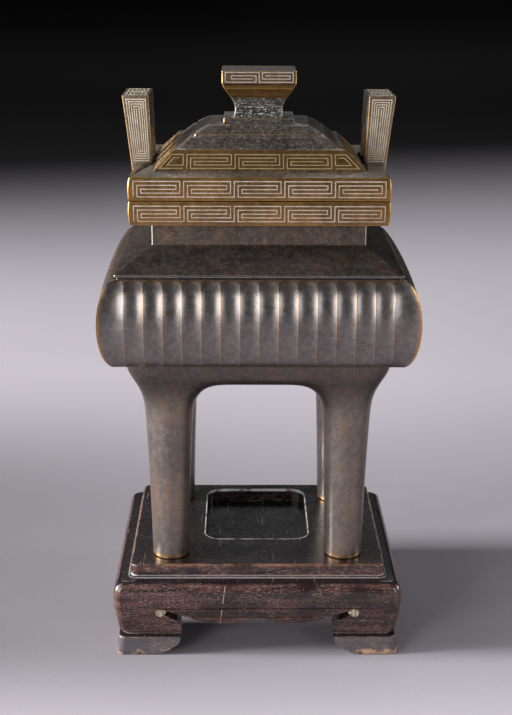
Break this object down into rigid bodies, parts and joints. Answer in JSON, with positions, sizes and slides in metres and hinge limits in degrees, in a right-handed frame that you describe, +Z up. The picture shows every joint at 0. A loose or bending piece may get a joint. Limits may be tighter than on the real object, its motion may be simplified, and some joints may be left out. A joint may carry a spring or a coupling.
{
  "type": "rectangular bronze censer with cover on a wood stand",
  "caption": "Lidded rectangular bronze incense burner with fluted body, round legs and loop handles, resting on a carved wood stand.",
  "frame": {"origin": "on the ground under the middle of the stand", "axes": "+Z up, the front faces -Y, handles on -X and +X"},
  "size_m": [0.0944, 0.0828, 0.1796],
  "materials": {
    "vessel_bronze": "cast bronze, dark brown satin patina, worn golden on edges, silver wire inlay on the rim and handles",
    "cover_bronze": "cast bronze, dark grey-brown patina, worn golden on edges, silver wire inlay",
    "dark_wood": "dark red-brown hardwood, polished, with fine open pores"
  },
  "bodies": {
    "root": {"vessel": "vessel_bronze", "cover": "cover_bronze", "stand": "dark_wood"}
  },
  "joints": []
}
